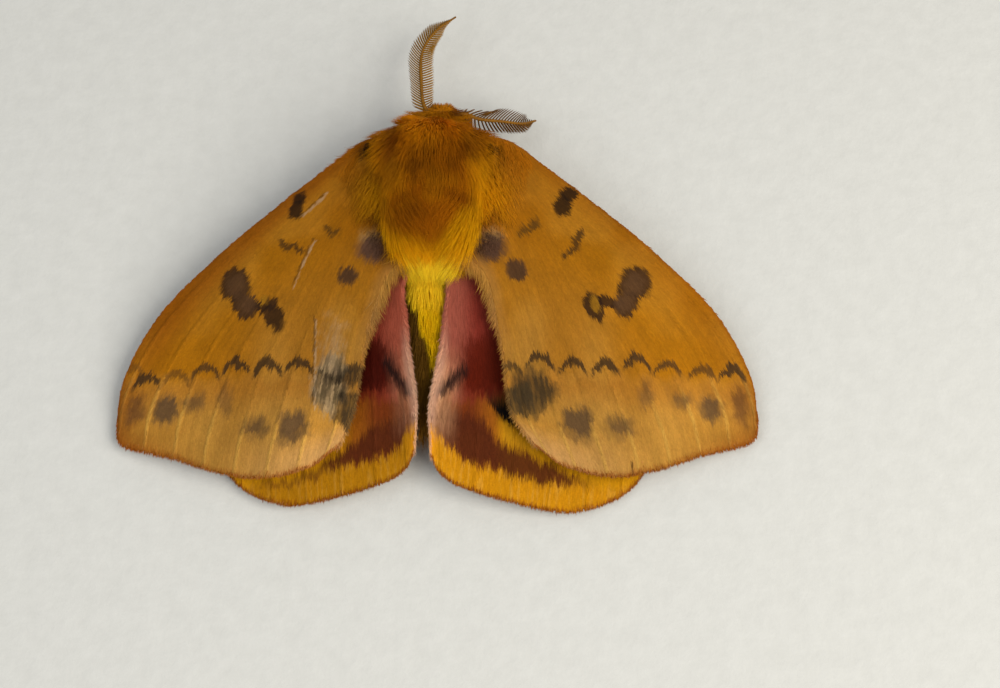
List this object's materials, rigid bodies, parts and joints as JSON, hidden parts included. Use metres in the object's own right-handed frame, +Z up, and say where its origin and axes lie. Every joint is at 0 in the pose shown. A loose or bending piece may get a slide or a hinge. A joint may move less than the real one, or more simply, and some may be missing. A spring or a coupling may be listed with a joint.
{
  "type": "io moth, adult male, resting with its wings spread",
  "caption": "Life-size still model of a male io moth at rest, furry body, feathery antennae and veined wings spread low over the floor.",
  "frame": {"origin": "on the floor, under the middle of the moth's bounding box", "axes": "+Y towards the head, +X towards the moth's right wings, +Z up"},
  "size_m": [0.0471, 0.0402, 0.0094],
  "materials": {
    "thorax_fur": "dense soft ochre hair, matt",
    "abdomen_fur": "short golden yellow hair, matt",
    "head_fur": "short ochre brown hair, matt",
    "eye": "polished near-black domed lens surface",
    "antenna": "straw brown horny stem with fine matt side branches",
    "forewing_scales": "matt powdery ochre scales with grey-brown spots",
    "hindwing_scales": "matt powdery scales, oxblood to golden yellow, with a dark eyespot",
    "leg_fur": "short reddish brown hair over horny legs, matt"
  },
  "bodies": {
    "root": {"thorax": "thorax_fur", "abdomen": "abdomen_fur", "head": "head_fur", "eye_left": "eye", "palp_left": "head_fur", "antenna_left": "antenna", "forewing_left": "forewing_scales", "hindwing_left": "hindwing_scales", "leg_fore_left": "leg_fur", "leg_mid_left": "leg_fur", "leg_hind_left": "leg_fur", "eye_right": "eye", "palp_right": "head_fur", "antenna_right": "antenna", "forewing_right": "forewing_scales", "hindwing_right": "hindwing_scales", "leg_fore_right": "leg_fur", "leg_mid_right": "leg_fur", "leg_hind_right": "leg_fur"}
  },
  "joints": []
}
